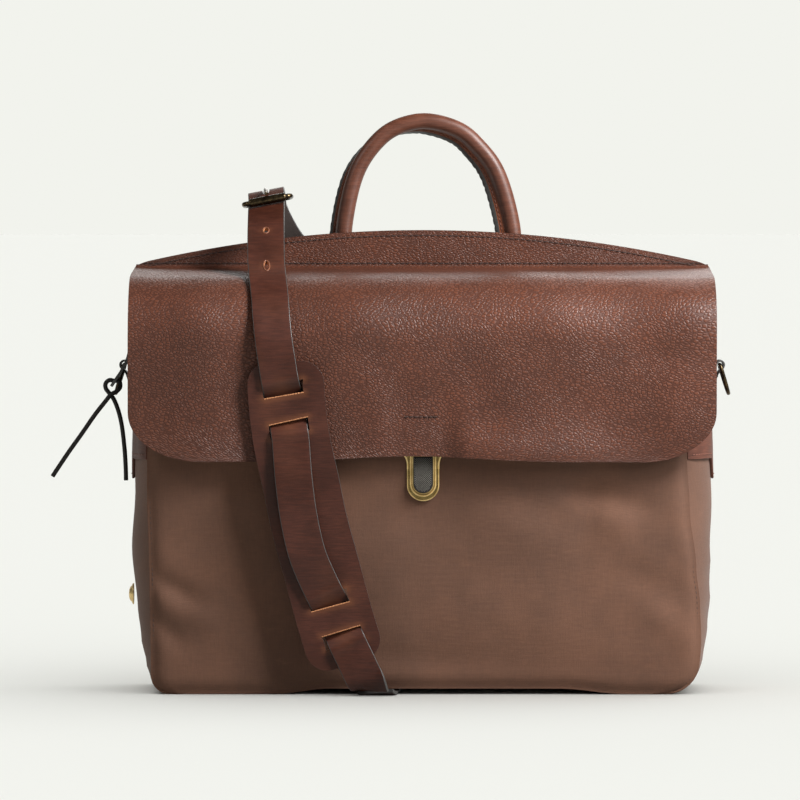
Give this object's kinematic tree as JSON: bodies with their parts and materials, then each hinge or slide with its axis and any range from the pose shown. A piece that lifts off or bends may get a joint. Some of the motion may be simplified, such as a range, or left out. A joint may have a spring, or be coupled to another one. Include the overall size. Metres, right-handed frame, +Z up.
{
  "type": "satchel bag",
  "caption": "Full-flap canvas and leather satchel with a rolled top handle, push lock, side rings and a shoulder strap laid over its front.",
  "frame": {"origin": "on the floor under the middle of the bag, at the centre of its bounding box without the lace", "axes": "+Z up, -Y out of the front, +X to the right of someone who faces the front"},
  "size_m": [0.4583, 0.1503, 0.3903],
  "materials": {
    "canvas": "waxed plain weave, matt",
    "pebble_leather": "pebbled grain, soft sheen",
    "strap_leather": "smooth, satin",
    "handle_leather": "smooth, satin",
    "black_leather": "smooth, matt",
    "leatherboard": "bonded board, matt",
    "rope": "twisted cotton",
    "brass": "polished, lightly aged",
    "antique_brass": "antiqued",
    "steel": "knurled"
  },
  "bodies": {
    "bag": {"front_panel": "canvas", "back_panel": "canvas", "gusset": "canvas", "base_board": "leatherboard", "gusset_leather_left": "pebble_leather", "gusset_leather_right": "pebble_leather", "ring_loop_left": "black_leather", "ring_loop_right": "black_leather", "side_stud": "brass", "crest_front": "pebble_leather", "crest_stiffener": "leatherboard", "back_yoke": "pebble_leather", "handle_tab_left": "handle_leather", "handle_tab_right": "handle_leather", "lock_base": "brass", "lock_housing": "brass", "lock_backplate": "antique_brass", "lock_rivet_1": "antique_brass", "lock_rivet_2": "antique_brass", "lock_spring": "steel", "zip_end_left": "canvas", "zip_end_right": "canvas", "strap_back": "strap_leather", "strap_keeper": "strap_leather", "strap_floor": "strap_leather", "snap_upper_eye": "antique_brass", "snap_lower_eye": "antique_brass"},
    "flap": {"flap": "pebble_leather", "catch_tab": "strap_leather", "catch_plate": "brass", "catch_rivet_1": "antique_brass", "catch_rivet_2": "antique_brass"},
    "strap_front": {"strap_front": "strap_leather", "shoulder_pad": "strap_leather", "buckle_frame": "antique_brass"},
    "buckle_prong": {"buckle_prong": "antique_brass"},
    "buckle_roller": {"buckle_roller": "antique_brass"},
    "handle": {"handle_cover": "handle_leather", "handle_core": "rope"},
    "ring_left": {"d_ring_left": "antique_brass"},
    "ring_right": {"d_ring_right": "antique_brass"},
    "lock_thumb": {"lock_thumb": "steel"},
    "zip_slider": {"zip_slider": "antique_brass"},
    "zip_pull": {"zip_slider_pull": "antique_brass"},
    "zip_front": {"zip_band_front": "canvas", "zip_teeth_front": "brass"},
    "zip_back": {"zip_band_back": "canvas", "zip_teeth_back": "brass"},
    "zip_tail": {"zip_tail": "black_leather", "lace_long": "black_leather", "lace_short": "black_leather"},
    "snap_upper": {"snap_upper_hook": "antique_brass"},
    "snap_upper_gate": {"snap_upper_gate": "antique_brass"},
    "snap_lower": {"snap_lower_hook": "antique_brass"},
    "snap_lower_gate": {"snap_lower_gate": "antique_brass"}
  },
  "joints": [
    {"name": "flap_open", "type": "hinge", "parent": "bag", "child": "flap", "pos_m": [0, 0.0465, 0.283], "axis": [-1, 0, 0], "range_deg": [0, 97]},
    {"name": "strap_swing", "type": "hinge", "parent": "bag", "child": "strap_front", "pos_m": [0, 0.0465, 0.283], "axis": [-1, 0, 0], "range_deg": [0, 97]},
    {"name": "handle_tilt", "type": "hinge", "parent": "bag", "child": "handle", "pos_m": [0, 0.0622, 0.288], "axis": [-1, 0, 0], "range_deg": [0, 80]},
    {"name": "ring_left_swing", "type": "hinge", "parent": "bag", "child": "ring_left", "pos_m": [-0.2012, 0.007, 0.219], "axis": [0, 1, 0], "range_deg": [0, 100]},
    {"name": "ring_right_swing", "type": "hinge", "parent": "bag", "child": "ring_right", "pos_m": [0.2012, 0.007, 0.219], "axis": [0, -1, 0], "range_deg": [0, 100]},
    {"name": "lock_press", "type": "slide", "parent": "bag", "child": "lock_thumb", "axis": [0, 0, -1], "range_m": [0, 0.0035], "stiffness_N_per_m": 400, "deforming": ["lock_spring"]},
    {"name": "zip_slide", "type": "slide", "parent": "bag", "child": "zip_slider", "axis": [1, 0, 0], "range_m": [0, 0.3415]},
    {"name": "zip_front_fold", "type": "hinge", "parent": "bag", "child": "zip_front", "pos_m": [0, -0.0502, 0.2465], "axis": [-1, 0, 0], "range_deg": [0, 76]},
    {"name": "zip_back_fold", "type": "hinge", "parent": "bag", "child": "zip_back", "pos_m": [0, 0.0478, 0.2465], "axis": [1, 0, 0], "range_deg": [0, 76]},
    {"name": "zip_pull_flip", "type": "hinge", "parent": "zip_slider", "child": "zip_pull", "pos_m": [-0.1685, -0.0012, 0.2506], "axis": [0, -1, 0], "range_deg": [0, 165]},
    {"name": "tail_swing", "type": "hinge", "parent": "bag", "child": "zip_tail", "pos_m": [-0.1962, -0.014, 0.2465], "axis": [0, 1, 0], "range_deg": [0, 60]},
    {"name": "prong_lift", "type": "hinge", "parent": "strap_front", "child": "buckle_prong", "pos_m": [-0.10501, 0.0574, 0.32952], "axis": [-0.9816, 0, -0.1908], "range_deg": [0, 75]},
    {"name": "roller_spin", "type": "hinge", "parent": "strap_front", "child": "buckle_roller", "pos_m": [-0.1052, 0.033, 0.3305], "axis": [0.9816, 0, 0.1908], "continuous": true},
    {"name": "snap_upper_swivel", "type": "hinge", "parent": "bag", "child": "snap_upper", "pos_m": [-0.026, 0.065, 0.105], "axis": [0, 0, 1], "range_deg": [-20, 20]},
    {"name": "snap_upper_gate_push", "type": "hinge", "parent": "snap_upper", "child": "snap_upper_gate", "pos_m": [-0.0216, 0.065, 0.1026], "axis": [0, 1, 0], "range_deg": [0, 22], "stiffness_Nm_per_rad": 0.02},
    {"name": "snap_lower_swivel", "type": "hinge", "parent": "bag", "child": "snap_lower", "pos_m": [-0.026, 0.065, 0.068], "axis": [0, 0, 1], "range_deg": [-20, 20]},
    {"name": "snap_lower_gate_push", "type": "hinge", "parent": "snap_lower", "child": "snap_lower_gate", "pos_m": [-0.026, 0.0606, 0.0708], "axis": [-1, 0, 0], "range_deg": [0, 22], "stiffness_Nm_per_rad": 0.02}
  ],
  "couplings": [
    {"joint": "strap_swing", "follows": "flap_open", "ratio": 1},
    {"joint": "zip_front_fold", "follows": "zip_slide", "rad_per_m": 3.85},
    {"joint": "zip_back_fold", "follows": "zip_slide", "rad_per_m": 3.85}
  ]
}
